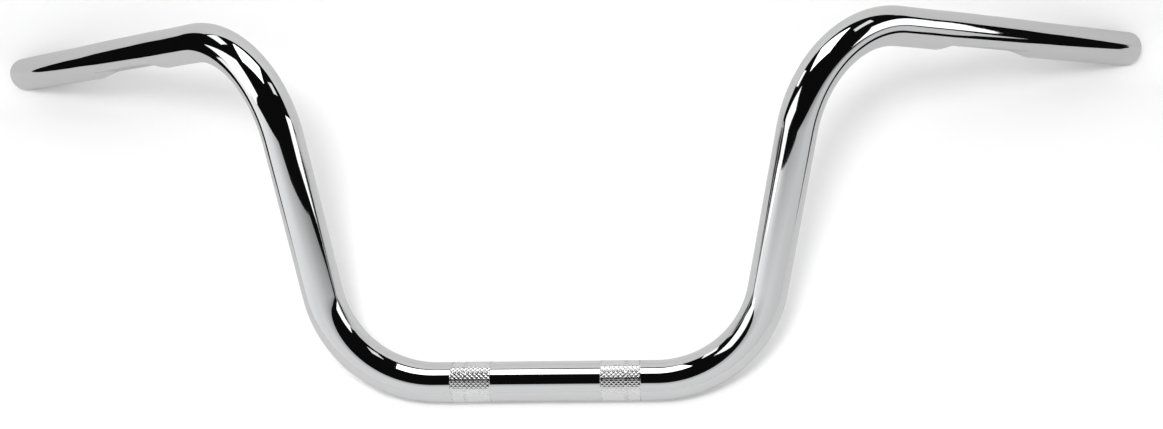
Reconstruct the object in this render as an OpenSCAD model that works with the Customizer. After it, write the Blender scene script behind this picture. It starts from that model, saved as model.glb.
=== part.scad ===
// High rise handlebar for a motorbike, bent from one chrome plated steel tube.
// X runs along the clamp section, Y back to the rider, Z up along the legs, and the
// origin is in the middle of the clamp section. All sizes are in millimetres.

/* [Tube] */
// outside diameter of the tube
tube_d = 25.4; // [24:0.1:28]
// thickness of the tube's wall
wall = 2.4; // [1.6:0.1:3.2]
// radius of each bend, at the middle of the tube
bend_r = 72; // [50:1:80]

/* [Shape of the bar] */
// distance between the lower corners, where clamp section and legs would meet unbent
base_w = 263; // [250:1:320]
// distance between the upper corners, where legs and grips would meet unbent
top_w = 344; // [300:1:400]
// height of the upper corners over the clamp section
rise = 227; // [180:1:400]
// distance between the middles of the two open ends
span = 864; // [820:1:1000]
// distance of the open ends behind the clamp section
pullback = 180; // [100:1:240]
// distance of the open ends below the upper corners
grip_drop = 30; // [0:1:60]

/* [Knurled bands] */
// distance between the middles of the two bands that the risers clamp
band_spacing = 96; // [72:1:108]
// width of each band
band_w = 26; // [12:1:36]
// height of the knurling over the tube
band_raise = 0.15; // [0.05:0.05:0.4]
// length of the slope at each edge of a band
band_slope = 0.5; // [0.2:0.1:2]

/* [Wiring dimples] */
// distance from an open end to its dimple
dimple_from = 115; // [60:1:140]
// length of a dimple along the grip
dimple_len = 96; // [60:1:105]
// depth of a dimple's flat floor
dimple_depth = 4; // [2:0.1:5]
// radius that each end of the floor rises with
dimple_r = 26; // [10:1:40]
// how far the tube swells all round beside a dimple, where the pressed wall goes
dimple_swell = 0.3; // [0.1:0.1:0.6]
// how far outside the dimple the swell starts
swell_lead = 3; // [1:0.5:6]

/* [Open ends] */
// size of the chamfer around an open end
rim_chamfer = 0.6; // [0.2:0.1:1]
// size of the chamfer at the mouth of the bore
bore_chamfer = 0.5; // [0.2:0.1:1]

/* [Hidden] */

tube_r = tube_d / 2;
bore_r = tube_r - wall;

// how far a cut runs past the face that it opens
past = 1;
// how much further a bend is turned before it is trimmed
trim_turn = 4;
// sides of the tube's round section, and steps in a full turn of a bend
section_sides = 32;
turn_steps = 54;

// corner points of the right half
lower_corner = [base_w / 2, 0, 0];
upper_corner = [top_w / 2, 0, rise];
end_point = [span / 2, pullback, rise - grip_drop];

leg = upper_corner - lower_corner;
grip = end_point - upper_corner;

// angle that each bend turns the tube through
lower_turn = atan2(leg[2], leg[0]);
upper_turn = acos(leg * grip / (norm(leg) * norm(grip)));

// length of each corner's side that its bend takes up
lower_take = bend_r * tan(lower_turn / 2);
upper_take = bend_r * tan(upper_turn / 2);

// straight runs that are left between the bends
clamp_half = base_w / 2 - lower_take;
leg_run = norm(leg) - lower_take - upper_take;
grip_run = norm(grip) - upper_take;

// the tube's own axes at the top of the leg: ahead, left and towards the bend's middle
leg_ahead = leg / norm(leg);
leg_side = [0, 1, 0];
leg_in = cross(leg_ahead, leg_side);

// roll of the tube about the leg, so that the upper bend points at the open end
roll = atan2(-(grip * leg_side), grip * leg_in);

// the same axes along the grip
grip_ahead = grip / norm(grip);
bend_normal = leg_side * cos(roll) + leg_in * sin(roll);
grip_in = cross(grip_ahead, bend_normal);

// turn about the grip that brings the dimple's floor to face straight down
down = [0, 0, -1];
dimple_turn = atan2(down * bend_normal, -(down * grip_in));

// distances from the top of the upper bend to both ends of the dimple and of its floor
floor_rise = sqrt(dimple_depth * (2 * dimple_r - dimple_depth));
dimple_near = grip_run - dimple_from - dimple_len;
dimple_far = grip_run - dimple_from;
floor_near = dimple_near + floor_rise;
floor_far = dimple_far - floor_rise;

chrome = [0.80, 0.81, 0.83];

// a straight run of solid rod along X
module rod(len, r) {
    rotate([0, 90, 0])
        cylinder(h = len, r = r, $fn = section_sides);
}

// a cone along X, from radius r1 at the start to r2
module taper(len, r1, r2) {
    rotate([0, 90, 0])
        cylinder(h = len, r1 = r1, r2 = r2, $fn = section_sides);
}

// the tube's section
module tube_section() {
    difference() {
        circle(r = tube_r, $fn = section_sides);
        circle(r = bore_r, $fn = section_sides);
    }
}

// a straight run of tube along X
module run(len) {
    rotate([0, 90, 0])
        linear_extrude(height = len)
            tube_section();
}

// a bend of the tube from X towards Z, trimmed square to the run that follows it;
// seam turns the section back, so that it lines up with a run that isn't rolled
module bend(turn, seam = 0) {
    difference() {
        translate([0, 0, bend_r])
            rotate([90, 90, 0])
                rotate_extrude(angle = turn + trim_turn, $fn = turn_steps)
                    translate([bend_r, 0])
                        rotate([0, 0, seam])
                            tube_section();
        beyond(turn)
            translate([0, -tube_d, -tube_d])
                cube([tube_d, 2 * tube_d, 2 * tube_d]);
    }
}

// moves its children to the end of a bend, so that X runs ahead again
module beyond(turn) {
    translate([0, 0, bend_r])
        rotate([0, -turn, 0])
            translate([0, 0, -bend_r])
                children();
}

// the tool that presses one dimple into the grip, larger all round by grow
module press_tool(grow) {
    rotate([dimple_turn + roll, 0, 0])
        translate([0, tube_d, dimple_depth - dimple_r - tube_r])
            rotate([90, 0, 0])
                linear_extrude(height = 2 * tube_d) {
                    translate([floor_near, 0])
                        square([floor_far - floor_near, dimple_r + grow]);
                    for (x = [floor_near, floor_far])
                        translate([x, 0])
                            circle(r = dimple_r + grow, $fn = turn_steps);
                }
}

// a rod along X between two places on the grip, which swells beside the dimple
module swelling_rod(from, to, r) {
    rotate([0, 90, 0])
        rotate_extrude($fn = section_sides)
            polygon([
                [0, from],
                [r, from],
                [r, dimple_near - swell_lead],
                [r + dimple_swell, floor_near - swell_lead],
                [r + dimple_swell, floor_far + swell_lead],
                [r, dimple_far + swell_lead],
                [r, to],
                [0, to]
            ]);
}

// the outside of a grip with its chamfered rim, pressed in by the dimple
module grip_outside() {
    difference() {
        union() {
            swelling_rod(0, grip_run - rim_chamfer, tube_r);
            translate([grip_run - rim_chamfer, 0, 0])
                taper(rim_chamfer, tube_r, tube_r - rim_chamfer);
        }
        press_tool(0);
    }
}

// the bore of a grip, raised over the dimple by the wall's thickness
module grip_bore() {
    difference() {
        swelling_rod(-past, grip_run + past, bore_r);
        press_tool(wall);
    }
    translate([grip_run - bore_chamfer, 0, 0])
        taper(bore_chamfer + past, bore_r, bore_r + bore_chamfer + past);
}

// the straight end of the bar that carries a grip
module grip_end() {
    difference() {
        grip_outside();
        grip_bore();
    }
}

// one knurled band, with a slope at each edge
module band() {
    translate([-band_w / 2, 0, 0])
        difference() {
            union() {
                taper(band_slope, tube_r, tube_r + band_raise);
                translate([band_slope, 0, 0])
                    rod(band_w - 2 * band_slope, tube_r + band_raise);
                translate([band_w - band_slope, 0, 0])
                    taper(band_slope, tube_r + band_raise, tube_r);
            }
            translate([-past, 0, 0])
                rod(band_w + 2 * past, (tube_r + bore_r) / 2);
        }
}

// the clamp section with its two bands
module clamp_section() {
    translate([-clamp_half, 0, 0])
        run(2 * clamp_half);
    for (x = [-band_spacing / 2, band_spacing / 2])
        translate([x, 0, 0])
            band();
}

// the right side of the bar, from the end of the clamp section to the open end
module right_side() {
    translate([clamp_half, 0, 0]) {
        bend(lower_turn);
        beyond(lower_turn) {
            run(leg_run);
            translate([leg_run, 0, 0])
                rotate([roll, 0, 0]) {
                    bend(upper_turn, roll);
                    beyond(upper_turn)
                        rotate([-roll, 0, 0])
                            grip_end();
                }
        }
    }
}

// the handlebar
module handlebar() {
    color(chrome) {
        clamp_section();
        right_side();
        mirror([1, 0, 0])
            right_side();
    }
}

handlebar();
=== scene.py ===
# %% [markdown]
# # High rise handlebar in chrome
# The bar is one steel tube, bent four times and plated with chrome. It lies face up on
# a sheet of white paper: the clamp section and both open ends touch the paper, and the
# upper bends stand clear of it.
#
# The script first opens the measured frame. The solid in it has the true sizes, but its
# faces are too coarse for a mirror finish, so the tube is modelled again over it.

# %% Open the measured frame
import math

import bpy
from mathutils import Matrix, Vector


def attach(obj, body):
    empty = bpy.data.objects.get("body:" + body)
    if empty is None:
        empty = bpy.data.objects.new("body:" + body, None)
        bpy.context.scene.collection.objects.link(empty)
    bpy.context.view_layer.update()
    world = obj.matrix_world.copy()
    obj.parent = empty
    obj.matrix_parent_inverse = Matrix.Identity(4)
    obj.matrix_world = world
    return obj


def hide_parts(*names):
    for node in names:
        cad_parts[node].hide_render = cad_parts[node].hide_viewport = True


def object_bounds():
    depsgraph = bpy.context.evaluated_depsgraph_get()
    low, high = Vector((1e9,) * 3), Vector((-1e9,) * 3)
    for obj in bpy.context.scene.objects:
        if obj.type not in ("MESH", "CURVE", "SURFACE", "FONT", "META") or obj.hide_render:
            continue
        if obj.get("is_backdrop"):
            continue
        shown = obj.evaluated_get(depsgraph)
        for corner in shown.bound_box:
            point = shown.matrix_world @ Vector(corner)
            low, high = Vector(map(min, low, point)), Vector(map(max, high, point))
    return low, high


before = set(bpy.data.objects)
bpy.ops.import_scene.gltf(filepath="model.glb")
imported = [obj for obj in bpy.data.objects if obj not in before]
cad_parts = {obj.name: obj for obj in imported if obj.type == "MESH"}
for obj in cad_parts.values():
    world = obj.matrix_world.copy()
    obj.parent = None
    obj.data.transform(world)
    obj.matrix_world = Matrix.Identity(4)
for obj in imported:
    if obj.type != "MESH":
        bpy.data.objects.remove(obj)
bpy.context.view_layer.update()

# %% [markdown]
# ## Sizes
# All sizes are in metres. X runs along the clamp section, Y back to the rider and Z up
# along the legs. Where straight runs would meet without a bend they have a corner, and
# the corners with the bend radius give the whole centre line. It could be drawn as a
# curve with a round bevel, but a tube that is extruded and spun keeps true round bends
# and even rings of faces, which a mirror needs.

# %% Sizes of the tube
TUBE_R = 0.0127
WALL = 0.0024
BEND_R = 0.072
LOWER_CORNER = Vector((0.1315, 0.0, 0.0))
UPPER_CORNER = Vector((0.172, 0.0, 0.227))
OPEN_END = Vector((0.432, 0.180, 0.197))

along_clamp = Vector((1.0, 0.0, 0.0))
along_leg = (UPPER_CORNER - LOWER_CORNER).normalized()
along_grip = (OPEN_END - UPPER_CORNER).normalized()
lower_turn = along_clamp.angle(along_leg)
upper_turn = along_leg.angle(along_grip)
lower_take = BEND_R * math.tan(lower_turn / 2)
upper_take = BEND_R * math.tan(upper_turn / 2)
clamp_half = LOWER_CORNER.x - lower_take
leg_run = (UPPER_CORNER - LOWER_CORNER).length - lower_take - upper_take
grip_run = (OPEN_END - UPPER_CORNER).length - upper_take
print("bends turn", round(math.degrees(lower_turn), 2), round(math.degrees(upper_turn), 2))
print("straight runs", round(clamp_half, 4), round(leg_run, 4), round(grip_run, 4))

# %% [markdown]
# ## The right half of the tube
# The real tube is drawn round a former, one bend after the other. The same order works
# here: a ring of points is the tube's section, it is extruded along a straight run, spun
# about the middle of a bend, and extruded again. Only the right half is made, and the
# left one is mirrored from it later, so both are sure to match.


# %% Helpers for selecting in edit mode
def nothing_selected():
    if bpy.context.object and bpy.context.object.mode != "OBJECT":
        bpy.ops.object.mode_set(mode="OBJECT")
    bpy.ops.object.select_all(action="DESELECT")


def only(obj):
    nothing_selected()
    obj.select_set(True)
    bpy.context.view_layer.objects.active = obj


def select_points(obj, wanted):
    """Selects the points for which wanted(place) is true, and leaves obj in edit mode."""
    only(obj)
    bpy.ops.object.mode_set(mode="EDIT")
    bpy.ops.mesh.select_mode(type="VERT")
    bpy.ops.mesh.select_all(action="DESELECT")
    bpy.ops.object.mode_set(mode="OBJECT")
    for point in obj.data.vertices:
        point.select = bool(wanted(point.co))
    bpy.ops.object.mode_set(mode="EDIT")


# %% The section, in the middle of the clamp section
SIDES = 80

nothing_selected()
bpy.ops.mesh.primitive_circle_add(
    vertices=SIDES, radius=TUBE_R, fill_type="NOTHING", rotation=(0.0, math.pi / 2, 0.0)
)
tube = bpy.context.object
tube.name = "chrome_tube"
bpy.ops.object.transform_apply(location=True, rotation=True, scale=True)
bpy.ops.object.mode_set(mode="EDIT")
bpy.ops.mesh.select_all(action="SELECT")
print("section of", len(tube.data.vertices), "points")

# %% Straight runs and bends
BEND_STEPS = 44


def run_on(direction, length, steps=1):
    """Extrudes the selected ring straight on, in equal steps."""
    for _ in range(steps):
        bpy.ops.mesh.extrude_region_move(
            TRANSFORM_OT_translate={"value": tuple(direction * (length / steps))}
        )


def bend_on(start, ahead, onward, turn):
    """Spins the selected ring about the middle of a bend that turns ahead into onward."""
    axis = ahead.cross(onward).normalized()
    middle = start + axis.cross(ahead) * BEND_R
    bpy.ops.mesh.spin(steps=BEND_STEPS, angle=-turn, center=middle, axis=axis)


lower_start = along_clamp * clamp_half
upper_start = UPPER_CORNER - along_leg * upper_take
grip_start = UPPER_CORNER + along_grip * upper_take
run_on(along_clamp, clamp_half, steps=2)
bend_on(lower_start, along_clamp, along_leg, lower_turn)
run_on(along_leg, leg_run, steps=2)
bend_on(upper_start, along_leg, along_grip, upper_turn)
print("grip starts at", [round(v, 4) for v in grip_start])

# %% [markdown]
# ## The grip and its wiring dimple
# Under each grip the tube is pressed in, so that the wires of the switches can pass
# between the tube and what is clamped on it. The press has a flat floor whose ends rise
# in a wide radius, and the wall that it moves makes the tube swell a little. A boolean
# could cut the dimple, but it leaves long thin faces that a mirror shows. So the grip
# gets close rings of faces there, and then the points are moved as the press moves the
# wall, with a small radius where the floor meets the round, as pressed metal has.

# %% Rings along the grip
DIMPLE_FROM = 0.115
DIMPLE_LEN = 0.096
SWELL_LEAD = 0.018
RIM = 0.0006
PRESSED_RINGS = 92

dimple_far = grip_run - DIMPLE_FROM
dimple_near = dimple_far - DIMPLE_LEN
run_on(along_grip, dimple_near - SWELL_LEAD, steps=2)
run_on(along_grip, DIMPLE_LEN + 2 * SWELL_LEAD, steps=PRESSED_RINGS)
run_on(along_grip, DIMPLE_FROM - SWELL_LEAD - RIM, steps=3)
run_on(along_grip, RIM)
bpy.ops.object.mode_set(mode="OBJECT")
ends = [p.co for p in tube.data.vertices if p.select]
print("last ring's middle", [round(v, 4) for v in sum(ends, Vector()) / len(ends)])

# %% The shape of the press
DIMPLE_DEPTH = 0.004
DIMPLE_R = 0.026
DIMPLE_SWELL = 0.0003
SWELL_INSIDE = 0.008
NO_PRESS = -1.0

floor_rise = math.sqrt(DIMPLE_DEPTH * (2 * DIMPLE_R - DIMPLE_DEPTH))
floor_near = dimple_near + floor_rise
floor_far = dimple_far - floor_rise


def ramp(value, start, end):
    """0 before start, 1 after end, and a soft step between."""
    t = min(max((value - start) / (end - start), 0.0), 1.0)
    return t * t * (3.0 - 2.0 * t)


def swell_at(place):
    """The share of the full swell at a distance along the grip."""
    started = ramp(place, dimple_near - SWELL_LEAD, floor_near + SWELL_INSIDE)
    ended = ramp(place, floor_far - SWELL_INSIDE, dimple_far + SWELL_LEAD)
    return started * (1.0 - ended)


def press_height(place):
    """How high the press stands at a distance along the grip, from the tube's middle."""
    off = max(floor_near - place, place - floor_far, 0.0)
    if off >= DIMPLE_R:
        return NO_PRESS
    return DIMPLE_DEPTH - DIMPLE_R - TUBE_R + math.sqrt(DIMPLE_R**2 - off**2)


print("dimple's floor", round((floor_far - floor_near) * 1000, 1), "mm long")

# %% Press the dimple
EDGE_R = 0.0008
# points nearer to each other than this are one point
HAIR = 1e-6

down = Vector((0.0, 0.0, -1.0))
press_way = -(down - along_grip * down.dot(along_grip)).normalized()


def soft_max(a, b, blend):
    """The larger of two heights, with a rounded change from one to the other."""
    h = min(max(0.5 + 0.5 * (a - b) / blend, 0.0), 1.0)
    return b + (a - b) * h + blend * h * (1.0 - h) * 0.5


pressed_points = 0
for point in tube.data.vertices:
    place = (point.co - grip_start).dot(along_grip)
    if place < dimple_near - SWELL_LEAD - HAIR or point.co.x < UPPER_CORNER.x:
        continue
    middle = grip_start + along_grip * place
    out = (point.co - middle) * ((TUBE_R + DIMPLE_SWELL * swell_at(place)) / TUBE_R)
    height = out.dot(press_way)
    pressed = soft_max(height, press_height(place), EDGE_R)
    point.co = middle + out + press_way * (pressed - height)
    pressed_points += pressed > height
print("press moved", pressed_points, "points")

# %% [markdown]
# ## The whole tube and its wall
# The left half mirrors the right one. Mirroring turns faces inside out, so the doubles
# in the middle are merged and the normals made consistent before Solidify gives the
# shell its wall towards the inside. That opens the bore at both ends. Two closed shells
# and a boolean would give the same wall with many more faces at the dimples.

# %% Mirror the half and thicken the wall
# places nearer to each other than this count as the same place
CLOSE = 1e-5

only(tube)
mirror = tube.modifiers.new("left half", "MIRROR")
mirror.use_axis = (True, False, False)
mirror.use_clip = True
mirror.merge_threshold = CLOSE
bpy.ops.object.modifier_apply(modifier=mirror.name)
bpy.ops.object.mode_set(mode="EDIT")
bpy.ops.mesh.select_all(action="SELECT")
bpy.ops.mesh.remove_doubles(threshold=HAIR)
bpy.ops.mesh.normals_make_consistent(inside=False)
bpy.ops.object.mode_set(mode="OBJECT")
wall = tube.modifiers.new("wall", "SOLIDIFY")
wall.thickness = WALL
wall.offset = -1.0
wall.use_rim = True
wall.material_offset = 1
bpy.ops.object.modifier_apply(modifier=wall.name)
print("tube of", len(tube.data.polygons), "faces")

# %% Take the edge off the rims of the open ends
RIM_CUT = 0.0009


def on_rim(place):
    side = math.copysign(1.0, place.x)
    end = Vector((OPEN_END.x * side, OPEN_END.y, OPEN_END.z))
    way = Vector((along_grip.x * side, along_grip.y, along_grip.z))
    return (place - end).dot(way) > -CLOSE


select_points(tube, on_rim)
bpy.ops.mesh.select_mode(type="FACE")
bpy.ops.mesh.region_to_loop()
bpy.ops.mesh.bevel(offset=RIM_CUT, segments=3, profile=0.4, affect="EDGES", clamp_overlap=True)
bpy.ops.object.mode_set(mode="OBJECT")
print("rims cut,", len(tube.data.polygons), "faces")

# %% [markdown]
# ## Knurled bands
# Two bands of diamond knurling bite into the risers' clamps. A knurling wheel is
# narrower than a band, so each band is cut in two passes that lap over each other near
# its outer third. A bump pattern in the material could fake it, but real diamonds break
# up the reflections as the steel does. One pass is a flat grid of squares that is poked,
# and the square edges are dissolved so that diamonds are left. Each diamond is inset and
# raised, and the sheet is rolled round the tube.
#
# The tube's own surface would show between the diamonds, so it is first sunk under them.

# %% Sink a seat for each band
BAND_MIDDLE = 0.048
BAND_W = 0.026
BAND_R = 0.01285
SEAT_R = 0.0122
SEAT_STEP = 0.0002
SLACK = 0.0001
# the clamp section lies lower than this, and the rest of the bar higher or further out
CLAMP_HEIGHT = 0.02
SMOOTH_BELOW = math.radians(32)


def on_clamp_section(place):
    return abs(place.x) < clamp_half + SLACK and abs(place.z) < CLAMP_HEIGHT


def on_seat(place):
    along = abs(abs(place.x) - BAND_MIDDLE) < BAND_W / 2 - SEAT_STEP / 2
    outside = place.yz.length > TUBE_R - WALL / 2
    return along and outside and on_clamp_section(place)


def cut_at(obj, x):
    """Cuts a ring of edges round the clamp section at a place along it."""
    select_points(obj, on_clamp_section)
    bpy.ops.mesh.bisect(plane_co=(x, 0.0, 0.0), plane_no=(1.0, 0.0, 0.0))
    bpy.ops.object.mode_set(mode="OBJECT")


for side in (-1.0, 1.0):
    for edge in (-BAND_W / 2, BAND_W / 2):
        for inset in (0.0, SEAT_STEP):
            cut_at(tube, side * BAND_MIDDLE + edge - math.copysign(inset, edge))
select_points(tube, on_seat)
shrink = SEAT_R / TUBE_R
bpy.ops.transform.resize(value=(1.0, shrink, shrink), center_override=(0.0, 0.0, 0.0))
bpy.ops.object.mode_set(mode="OBJECT")
bpy.ops.object.shade_smooth_by_angle(angle=SMOOTH_BELOW)
print("seats", round(SEAT_R * 1000, 2), "mm in radius")

# %% A flat sheet of diamonds
DIAMONDS_ROUND = 32
DIAMOND_LEN = 0.0031


def on_square_edge(a, b):
    """Whether an edge of the poked sheet lies along a square, and not on the outer rim."""
    straight = abs(a.x - b.x) < CLOSE or abs(a.y - b.y) < CLOSE
    rim = max(abs(a.x + b.x), abs(a.y + b.y)) > 1.0 - CLOSE
    return straight and not rim


def diamond_sheet(name, columns):
    """A sheet 1 by 1 in size, with whole diamonds inside and halves round its rim."""
    nothing_selected()
    bpy.ops.mesh.primitive_grid_add(
        x_subdivisions=columns, y_subdivisions=DIAMONDS_ROUND, size=1.0
    )
    sheet = bpy.context.object
    sheet.name = name
    bpy.ops.object.mode_set(mode="EDIT")
    bpy.ops.mesh.select_all(action="SELECT")
    bpy.ops.mesh.poke()
    bpy.ops.mesh.select_all(action="DESELECT")
    bpy.ops.mesh.select_mode(type="EDGE")
    bpy.ops.object.mode_set(mode="OBJECT")
    for edge in sheet.data.edges:
        a, b = (sheet.data.vertices[i].co for i in edge.vertices)
        edge.select = on_square_edge(a, b)
    bpy.ops.object.mode_set(mode="EDIT")
    bpy.ops.mesh.dissolve_edges(use_verts=False)
    bpy.ops.mesh.select_mode(type="FACE")
    bpy.ops.mesh.select_all(action="SELECT")
    bpy.ops.object.mode_set(mode="OBJECT")
    return sheet


print("diamonds", round(BAND_R * 2 * math.pi / DIAMONDS_ROUND * 1000, 2), "mm wide")

# %% Raise the diamonds and roll the sheet round the tube
KNURL_DEPTH = 0.00017
KNURL_FLANK = 0.00082
CORNERS_OF_A_DIAMOND = 4


def knurl_pass(name, low, high, peak_r, turn):
    """A sleeve between two places on X, with diamonds that reach out to peak_r."""
    columns = max(2, round((high - low) / DIAMOND_LEN))
    sheet = diamond_sheet(name, columns)
    for point in sheet.data.vertices:
        x = low + (point.co.x + 0.5) * (high - low)
        point.co = Vector((x, point.co.y * 2.0 * math.pi * peak_r, 0.0))
    third_of_a_diamond = (high - low) / columns / 3
    for face in sheet.data.polygons:
        at_end = min(face.center.x - low, high - face.center.x) < third_of_a_diamond
        face.select = len(face.vertices) == CORNERS_OF_A_DIAMOND or at_end
    bpy.ops.object.mode_set(mode="EDIT")
    bpy.ops.mesh.inset(thickness=KNURL_FLANK, depth=KNURL_DEPTH, use_individual=True)
    bpy.ops.object.mode_set(mode="OBJECT")
    for point in sheet.data.vertices:
        angle = point.co.y / peak_r + turn
        radius = peak_r - KNURL_DEPTH + point.co.z
        point.co = Vector((point.co.x, radius * math.sin(angle), radius * math.cos(angle)))
    bpy.ops.object.mode_set(mode="EDIT")
    bpy.ops.mesh.select_all(action="SELECT")
    bpy.ops.mesh.remove_doubles(threshold=HAIR)
    bpy.ops.mesh.normals_make_consistent(inside=False)
    bpy.ops.object.mode_set(mode="OBJECT")
    return sheet


# %% Both bands
PASS_SPLIT = 0.0165
PASS_LAP = 0.0014
PASS_DROP = 0.00004
PASS_TURN = 0.3

inner = BAND_MIDDLE - BAND_W / 2
outer = BAND_MIDDLE + BAND_W / 2
split = inner + PASS_SPLIT
spans = [
    ("inner", inner, split + PASS_LAP, BAND_R),
    ("outer", split - PASS_LAP, outer, BAND_R - PASS_DROP),
]
bands = []
for side, label in ((-1.0, "left"), (1.0, "right")):
    for word, start, end, radius in spans:
        low, high = sorted((side * start, side * end))
        name = f"{label}_band_{word}_pass"
        bands.append(knurl_pass(name, low, high, radius, PASS_TURN * side))
        print(bands[-1].name, len(bands[-1].data.polygons), "faces")

# %% [markdown]
# ## Chrome
# Chrome plate is a mirror with a faintly blue tint. A plain metal with no roughness
# would do for a first look. What makes it look real is what isn't perfect: a veil from
# handling that dulls a patch here and there, and the fine grain of the last polish. Both
# are one node group, because the knurling and the bare bore use it with other values.

# %% A group for what handling and polishing leave
PATCHES = {"Detail": 5.0, "Roughness": 0.6}
GRAIN = {"Scale": 900.0, "Detail": 3.0}
PATCH_LOW, PATCH_HIGH = 0.42, 0.72


def group_with(name, inputs, outputs):
    """An empty node group with number sockets, and its two end nodes."""
    group = bpy.data.node_groups.new(name, "ShaderNodeTree")
    for label, value in inputs.items():
        socket = group.interface.new_socket(label, in_out="INPUT", socket_type="NodeSocketFloat")
        socket.default_value = value
    for label in outputs:
        group.interface.new_socket(label, in_out="OUTPUT", socket_type="NodeSocketFloat")
    return group, group.nodes.new("NodeGroupInput"), group.nodes.new("NodeGroupOutput")


def noise_on(tree, coords, settings):
    """A noise texture on the piece's own coordinates."""
    noise = tree.nodes.new("ShaderNodeTexNoise")
    for label, value in settings.items():
        noise.inputs[label].default_value = value
    tree.links.new(coords.outputs["Object"], noise.inputs["Vector"])
    return noise


def handling_group():
    """Roughness that wanders between a clean and a handled value, and a fine grain."""
    inputs = {"Clean": 0.03, "Handled": 0.09, "Scale": 14.0}
    group, inside, outside = group_with("handling", inputs, ["Roughness", "Height"])
    coords = group.nodes.new("ShaderNodeTexCoord")
    patches = noise_on(group, coords, PATCHES)
    grain = noise_on(group, coords, GRAIN)
    spread = group.nodes.new("ShaderNodeMapRange")
    spread.inputs["From Min"].default_value = PATCH_LOW
    spread.inputs["From Max"].default_value = PATCH_HIGH
    links = group.links
    links.new(inside.outputs["Scale"], patches.inputs["Scale"])
    links.new(patches.outputs["Fac"], spread.inputs["Value"])
    links.new(inside.outputs["Clean"], spread.inputs["To Min"])
    links.new(inside.outputs["Handled"], spread.inputs["To Max"])
    links.new(spread.outputs["Result"], outside.inputs["Roughness"])
    links.new(grain.outputs["Fac"], outside.inputs["Height"])
    return group


handling = handling_group()
print("groups:", [g.name for g in bpy.data.node_groups])

# %% Chrome, knurled chrome and the bare bore
GRAIN_HEIGHT = 0.0001


def metal(name, colour, clean, handled, scale, bump):
    """A metal whose roughness and grain come from the handling group."""
    material = bpy.data.materials.new(name)
    material.use_nodes = True
    nodes, links = material.node_tree.nodes, material.node_tree.links
    shader = nodes["Principled BSDF"]
    shader.inputs["Base Color"].default_value = (*colour, 1.0)
    shader.inputs["Metallic"].default_value = 1.0
    worn = nodes.new("ShaderNodeGroup")
    worn.node_tree = handling
    worn.inputs["Clean"].default_value = clean
    worn.inputs["Handled"].default_value = handled
    worn.inputs["Scale"].default_value = scale
    links.new(worn.outputs["Roughness"], shader.inputs["Roughness"])
    raised = nodes.new("ShaderNodeBump")
    raised.inputs["Strength"].default_value = bump
    raised.inputs["Distance"].default_value = GRAIN_HEIGHT
    links.new(worn.outputs["Height"], raised.inputs["Height"])
    links.new(raised.outputs["Normal"], shader.inputs["Normal"])
    return material


chrome = metal(
    "polished chrome", (0.80, 0.805, 0.815), clean=0.02, handled=0.05, scale=14.0, bump=0.02
)
knurl_chrome = metal(
    "knurled chrome", (0.88, 0.885, 0.89), clean=0.19, handled=0.26, scale=60.0, bump=0.1
)
bare_steel = metal(
    "bare steel in the bore", (0.33, 0.31, 0.29), clean=0.45, handled=0.7, scale=90.0, bump=0.6
)
tube.data.materials.append(chrome)
tube.data.materials.append(bare_steel)
for band in bands:
    band.data.materials.append(knurl_chrome)
print("finishes:", [m.name for m in (chrome, knurl_chrome, bare_steel)])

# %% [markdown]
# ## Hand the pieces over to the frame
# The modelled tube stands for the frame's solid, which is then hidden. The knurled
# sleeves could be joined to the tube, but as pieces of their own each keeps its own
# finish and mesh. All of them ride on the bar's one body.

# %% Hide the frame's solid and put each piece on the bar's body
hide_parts("handlebar")
for piece in (tube, *bands):
    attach(piece, "root")
print("handed over", 1 + len(bands), "pieces")

# %% [markdown]
# ## The paper
# The bar rests on its clamp section and its two open ends, and the paper is the plane
# that touches all three from behind. An endless white plane would be simpler, but chrome
# shows where the paper ends: its grey draws the tube's edges, and the dark room beyond
# it draws the black stripes. So the sheet has real edges, and it sweeps up behind the
# upper bends as paper does in a studio. The picture's white is brighter than the paper
# that the chrome shows, so the finish has a white for the eye and a greyer one for the
# chrome. It is clear from behind, so that the bar can be looked at from there too.

# %% Where the paper lies
rest_way = Vector((0.0, OPEN_END.y, OPEN_END.z)).normalized()
paper_up = Vector((0.0, -rest_way.z, rest_way.y))
paper_turn = Matrix((Vector((1.0, 0.0, 0.0)), rest_way, paper_up)).transposed()


def from_paper(x, back, up):
    """A place given along the paper's width, up its slope and off its face."""
    return paper_turn @ Vector((x, back, up - TUBE_R))


print("paper leans back by", round(math.degrees(math.asin(rest_way.z)), 1), "degrees")

# %% The sheet of paper
PAPER_LEFT, PAPER_RIGHT = -0.585, 0.63
PAPER_FRONT = -1.05
PAPER_GAP = 0.0003
SWEEP_FOOT = 0.266
SWEEP_R = 0.05
SWEEP_TURN = math.radians(60)
SWEEP_RISE = 0.38

nothing_selected()
bpy.ops.mesh.primitive_plane_add(size=1.0)
paper = bpy.context.object
paper.name = "paper"
sweep_from = SWEEP_FOOT - SWEEP_R * math.tan(SWEEP_TURN / 2)
for corner in paper.data.vertices:
    corner.co.x = PAPER_LEFT if corner.co.x < 0 else PAPER_RIGHT
    corner.co.y = PAPER_FRONT if corner.co.y < 0 else sweep_from
select_points(paper, lambda place: place.y > 0)
bpy.ops.mesh.spin(
    steps=16, angle=-SWEEP_TURN, center=(0.0, sweep_from, SWEEP_R), axis=(1.0, 0.0, 0.0)
)
rise = (0.0, SWEEP_RISE * math.cos(SWEEP_TURN), SWEEP_RISE * math.sin(SWEEP_TURN))
bpy.ops.mesh.extrude_region_move(TRANSFORM_OT_translate={"value": rise})
bpy.ops.mesh.select_all(action="SELECT")
bpy.ops.mesh.normals_make_consistent(inside=False)
bpy.ops.object.mode_set(mode="OBJECT")
if paper.data.polygons[0].normal.z < 0:
    paper.data.flip_normals()
bpy.ops.object.shade_smooth()
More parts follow.
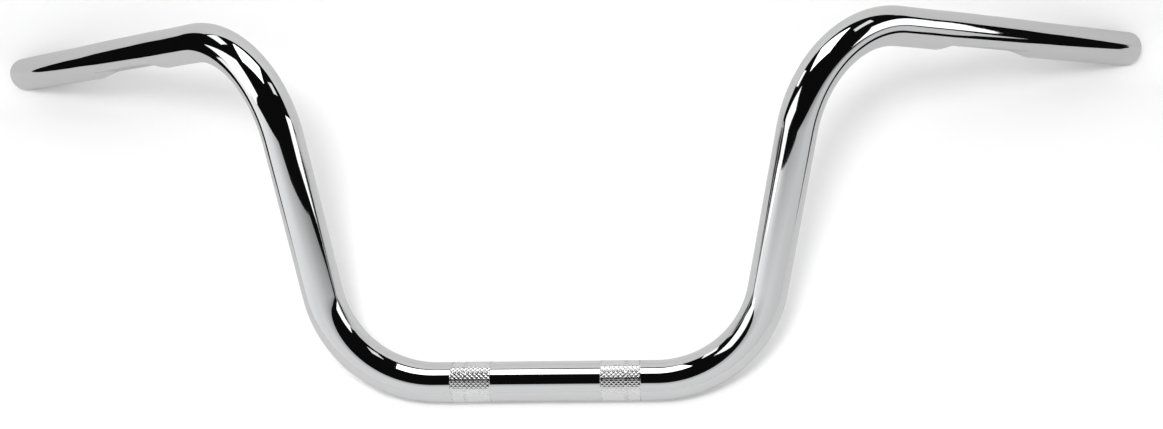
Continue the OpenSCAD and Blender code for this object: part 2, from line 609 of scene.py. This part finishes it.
for point in paper.data.vertices:
    point.co = from_paper(point.co.x, point.co.y, point.co.z - PAPER_GAP)
paper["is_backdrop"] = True
print("paper", [round(v, 3) for v in paper.dimensions])

# %% The paper's finish
PAPER_SEEN = (0.85, 0.85, 0.85, 1.0)
PAPER_IN_CHROME = (0.53, 0.527, 0.522, 1.0)

paper_finish = bpy.data.materials.new("white paper")
paper_finish.use_nodes = True
nodes, links = paper_finish.node_tree.nodes, paper_finish.node_tree.links
nodes.remove(nodes["Principled BSDF"])
plain = nodes.new("ShaderNodeBsdfDiffuse")
plain.inputs["Color"].default_value = PAPER_IN_CHROME
seen = nodes.new("ShaderNodeBsdfDiffuse")
seen.inputs["Color"].default_value = PAPER_SEEN
path = nodes.new("ShaderNodeLightPath")
by_eye = nodes.new("ShaderNodeMixShader")
links.new(path.outputs["Is Camera Ray"], by_eye.inputs["Fac"])
links.new(plain.outputs["BSDF"], by_eye.inputs[1])
links.new(seen.outputs["BSDF"], by_eye.inputs[2])
clear = nodes.new("ShaderNodeBsdfTransparent")
side_of = nodes.new("ShaderNodeNewGeometry")
one_sided = nodes.new("ShaderNodeMixShader")
links.new(side_of.outputs["Backfacing"], one_sided.inputs["Fac"])
links.new(by_eye.outputs["Shader"], one_sided.inputs[1])
links.new(clear.outputs["BSDF"], one_sided.inputs[2])
links.new(one_sided.outputs["Shader"], nodes["Material Output"].inputs["Surface"])
paper.data.materials.append(paper_finish)
print("paper's finish has", len(nodes), "nodes")

# %% [markdown]
# ## The wall in front of the bar
# Chrome has no colour of its own: it shows the room. The side of each leg that faces the
# viewer shows a pale wall behind the viewer, brighter towards the room's window on the
# left. A large light could stand for it, but a light has one tone all over. So it is a
# mesh that glows, with the window's light painted into its glow as tones along its width
# and painted shade at its top, and its top edge is the clean line where the wall ends and
# the black of the room begins in each leg.

# %% The wall's glow levels, with the window's light painted in
# places along the wall from the bar's middle, and the wall's glow there, which is painted light
# from the window
WALL_GLOW_LEVELS = (
    (-9.0, 1.1), (-4.0, 0.94), (-1.6, 0.87), (-0.7, 0.78), (0.0, 0.75), (1.0, 0.66), (2.4, 0.64),
)
# the heights and the places along the wall between which painted shade darkens its top
SHADE_UP = (0.8, 1.4)
SHADE_ACROSS = (-2.2, -0.4)
SHADE_DEPTH = 0.5


def spread_out(tree, source, low, high):
    """0 where source is low and 1 where it is high."""
    spread = tree.nodes.new("ShaderNodeMapRange")
    spread.inputs["From Min"].default_value = low
    spread.inputs["From Max"].default_value = high
    tree.links.new(source, spread.inputs["Value"])
    return spread.outputs["Result"]


def worked_out(tree, operation, first, second):
    """A Math node's result. Each of its two values is a number or a socket."""
    working = tree.nodes.new("ShaderNodeMath")
    working.operation = operation
    for socket, value in zip(working.inputs, (first, second)):
        if isinstance(value, float):
            socket.default_value = value
        else:
            tree.links.new(value, socket)
    return working.outputs["Value"]


def painted_light_along(tree, x):
    """The wall's glow at a place along its width, with the window's light painted in, from the
    listed glow levels.
    """
    start, end = WALL_GLOW_LEVELS[0][0], WALL_GLOW_LEVELS[-1][0]
    tone = tree.nodes.new("ShaderNodeValToRGB")
    tree.links.new(spread_out(tree, x, start, end), tone.inputs["Fac"])
    stops = tone.color_ramp.elements
    while len(stops) < len(WALL_GLOW_LEVELS):
        stops.new(1.0)
    for stop, (place, level) in zip(stops, WALL_GLOW_LEVELS):
        stop.position = (place - start) / (end - start)
        stop.color = (level, level, level, 1.0)
    return tone.outputs["Color"]


print("wall's tones from", WALL_GLOW_LEVELS[0][1], "at the left to", WALL_GLOW_LEVELS[-1][1])


# %% The wall's glow, with painted light and painted shade
def wall_light():
    """A glow that stands for the white wall, with the window's light painted in brighter to the
    left, and painted shade darker at the top away from the window.
    """
    material = bpy.data.materials.new("lit wall")
    material.use_nodes = True
    tree = material.node_tree
    tree.nodes.remove(tree.nodes["Principled BSDF"])
    coords = tree.nodes.new("ShaderNodeTexCoord")
    parts = tree.nodes.new("ShaderNodeSeparateXYZ")
    tree.links.new(coords.outputs["Object"], parts.inputs["Vector"])
    height = tree.nodes.new("ShaderNodeVectorMath")
    height.operation = "DOT_PRODUCT"
    height.inputs[1].default_value = paper_up
    tree.links.new(coords.outputs["Object"], height.inputs[0])
    # painted shade: the glow gets darker at the wall's top, away from the window
    high_up = spread_out(tree, height.outputs["Value"], *SHADE_UP)
    far_across = spread_out(tree, parts.outputs["X"], *SHADE_ACROSS)
    corner = worked_out(tree, "MULTIPLY", high_up, far_across)
    shade = worked_out(tree, "MULTIPLY", corner, SHADE_DEPTH)
    # the glow's colour is painted light, brighter towards the window on the left
    glow = tree.nodes.new("ShaderNodeEmission")
    tree.links.new(painted_light_along(tree, parts.outputs["X"]), glow.inputs["Color"])
    tree.links.new(worked_out(tree, "SUBTRACT", 1.0, shade), glow.inputs["Strength"])
    tree.links.new(glow.outputs["Emission"], tree.nodes["Material Output"].inputs["Surface"])
    return material


wall_glow = wall_light()
print("wall's finish has", len(wall_glow.node_tree.nodes), "nodes")

# %% The wall itself
WALL_BACK, WALL_FOOT = -1.07, -0.5
# places along the wall, and how high it reaches there
WALL_TOPS = ((-17.0, 3.11), (0.0, 1.25), (2.6, 1.54), (11.0, 1.6))

stretches = len(WALL_TOPS) - 1
nothing_selected()
bpy.ops.mesh.primitive_grid_add(x_subdivisions=stretches, y_subdivisions=1, size=stretches)
front_wall = bpy.context.object
front_wall.name = "front wall"
for corner in front_wall.data.vertices:
    x, top = WALL_TOPS[round(corner.co.x + stretches / 2)]
    corner.co = from_paper(x, WALL_BACK, WALL_FOOT if corner.co.y < 0 else top)
front_wall.data.materials.append(wall_glow)
front_wall.visible_camera = False
front_wall.visible_diffuse = False
front_wall.visible_shadow = False
front_wall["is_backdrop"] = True
print("wall", [round(v, 2) for v in front_wall.dimensions])

# %% [markdown]
# ## Lights
# The white shapes in the black stripes are softboxes and windows round the bar. They
# could be moved about by eye, but each one can show in every bend, so their directions
# are given as angles from the middle of the bar. They only light the chrome. The paper
# gets its soft light from all round and from one lamp beside the lens, whose shadow
# stays close to the bar. The chrome shows the rest of the room nearly black.

# %% Softboxes and windows
LIT_BACK = 0.12
lit_middle = from_paper(0.0, LIT_BACK, 0.0)


def toward(azimuth, elevation, distance):
    """A place seen from the bar: azimuth 0 is up the paper and 90 to the right."""
    a, e = math.radians(azimuth), math.radians(elevation)
    flat = distance * math.cos(e)
    return from_paper(flat * math.sin(a), LIT_BACK + flat * math.cos(a), distance * math.sin(e))


def hang(name, lamp, place, facing):
    """Puts a lamp in its place, hidden from the camera."""
    holder = bpy.data.objects.new(name, lamp)
    bpy.context.scene.collection.objects.link(holder)
    holder.matrix_world = Matrix.Translation(place) @ facing.to_4x4()
    holder.visible_camera = False
    return holder


def softbox(name, azimuth, elevation, distance, wide, high, roll, radiance):
    """A lit rectangle that faces the bar, and is as wide and high as its angles say.
    Radiance is what a mirror shows of it."""
    width = 2 * distance * math.tan(math.radians(wide / 2))
    height = 2 * distance * math.tan(math.radians(high / 2))
    lamp = bpy.data.lights.new(name, "AREA")
    lamp.shape = "RECTANGLE"
    lamp.size, lamp.size_y = width, height
    lamp.energy = radiance * math.pi * width * height
    place = toward(azimuth, elevation, distance)
    away = (place - lit_middle).normalized()
    across = paper_up.cross(away).normalized()
    level = Matrix((across, away.cross(across), away)).transposed()
    facing = Matrix.Rotation(math.radians(roll), 3, away) @ level
    hang(name, lamp, place, facing).visible_diffuse = False
    print(name, round(width, 2), "by", round(height, 2), "m")


softbox("softbox above", -8.4, 60.6, 1.95, wide=33.0, high=31.5, roll=-16.0, radiance=2.4)
softbox("softbox left", -98.3, 34.0, 4.5, wide=26.8, high=40.0, roll=-2.0, radiance=1.3)
softbox("softbox right", 85.2, 20.6, 2.4, wide=22.2, high=23.6, roll=28.4, radiance=1.5)
softbox("window left", -52.8, 36.5, 1.35, wide=13.0, high=13.8, roll=-18.0, radiance=1.3)
softbox("window right", 51.5, 46.5, 2.8, wide=11.5, high=14.0, roll=3.0, radiance=0.9)

# %% The lamp beside the lens
LAMP_X, LAMP_BACK, LAMP_UP = -0.03, -0.19, 0.9
LAMP_ACROSS = 0.2
LAMP_LEVEL = 0.5

lens_lamp = bpy.data.lights.new("light by the lens", "AREA")
lens_lamp.shape = "DISK"
lens_lamp.size = LAMP_ACROSS
lens_lamp.energy = LAMP_LEVEL * math.pi**2 * LAMP_UP**2
lamp_place = from_paper(LAMP_X, LAMP_BACK, LAMP_UP)
lamp_facing = (lit_middle - lamp_place).to_track_quat("-Z", "Y").to_matrix()
lens_light = hang("light by the lens", lens_lamp, lamp_place, lamp_facing)
lens_light.visible_glossy = False
print("lamp beside the lens at", [round(v, 2) for v in lamp_place])

# %% The room
ROOM_DARK = (0.004, 0.004, 0.004, 1.0)
ROOM_FILL = (1.0, 1.0, 1.005, 1.0)
BACKDROP = (1.0, 1.0, 1.0, 1.0)

world = bpy.data.worlds.new("studio")
bpy.context.scene.world = world
world.use_nodes = True
nodes, links = world.node_tree.nodes, world.node_tree.links
dark = nodes["Background"]
dark.inputs["Color"].default_value = ROOM_DARK
fill = nodes.new("ShaderNodeBackground")
fill.inputs["Color"].default_value = ROOM_FILL
pale = nodes.new("ShaderNodeBackground")
pale.inputs["Color"].default_value = BACKDROP
path = nodes.new("ShaderNodeLightPath")
for_fill = nodes.new("ShaderNodeMixShader")
for_eye = nodes.new("ShaderNodeMixShader")
links.new(path.outputs["Is Diffuse Ray"], for_fill.inputs["Fac"])
links.new(dark.outputs["Background"], for_fill.inputs[1])
links.new(fill.outputs["Background"], for_fill.inputs[2])
links.new(path.outputs["Is Camera Ray"], for_eye.inputs["Fac"])
links.new(for_fill.outputs["Shader"], for_eye.inputs[1])
links.new(pale.outputs["Background"], for_eye.inputs[2])
links.new(for_eye.outputs["Shader"], nodes["World Output"].inputs["Surface"])
bpy.context.scene.view_settings.view_transform = "Standard"
print("room's darkness in the chrome", ROOM_DARK[0])

# %% [markdown]
# ## Camera
# The lens looks nearly square at the paper from a short distance, so the upper bends,
# which stand 15 cm off the paper, look thicker than the clamp section and the open ends.
# A longer lens from farther away would show the tube equally thick all along. The shift
# only frames the picture.

# %% The camera beside the lamp
EYE = Vector((0.081595, -0.645125, 0.229705))
AIM = Vector((0.052351, 0.0, 0.120515))
ROLL = math.radians(1.44)
LENS = 32.47
SENSOR = 36.0
SHIFT_X, SHIFT_Y = -0.0359, -0.0162
NEAREST = 0.01

camera_data = bpy.data.cameras.new("camera")
camera_data.sensor_width = SENSOR
camera_data.lens = LENS
camera_data.shift_x, camera_data.shift_y = SHIFT_X, SHIFT_Y
camera_data.clip_start = NEAREST
camera = bpy.data.objects.new("camera", camera_data)
bpy.context.scene.collection.objects.link(camera)
level = (AIM - EYE).to_track_quat("-Z", "Y").to_matrix()
held = level @ Matrix.Rotation(-ROLL, 3, "Z")
camera.matrix_world = Matrix.Translation(EYE) @ held.to_4x4()
bpy.context.scene.camera = camera
print("camera is", round((AIM - EYE).length, 3), "m from what it looks at")

# %% [markdown]
# The model must not outgrow the solid that it stands for, so the model's box is printed.

# %% Sizes
low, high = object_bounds()
print("model's box", [round(v, 4) for v in (*low, *high)])
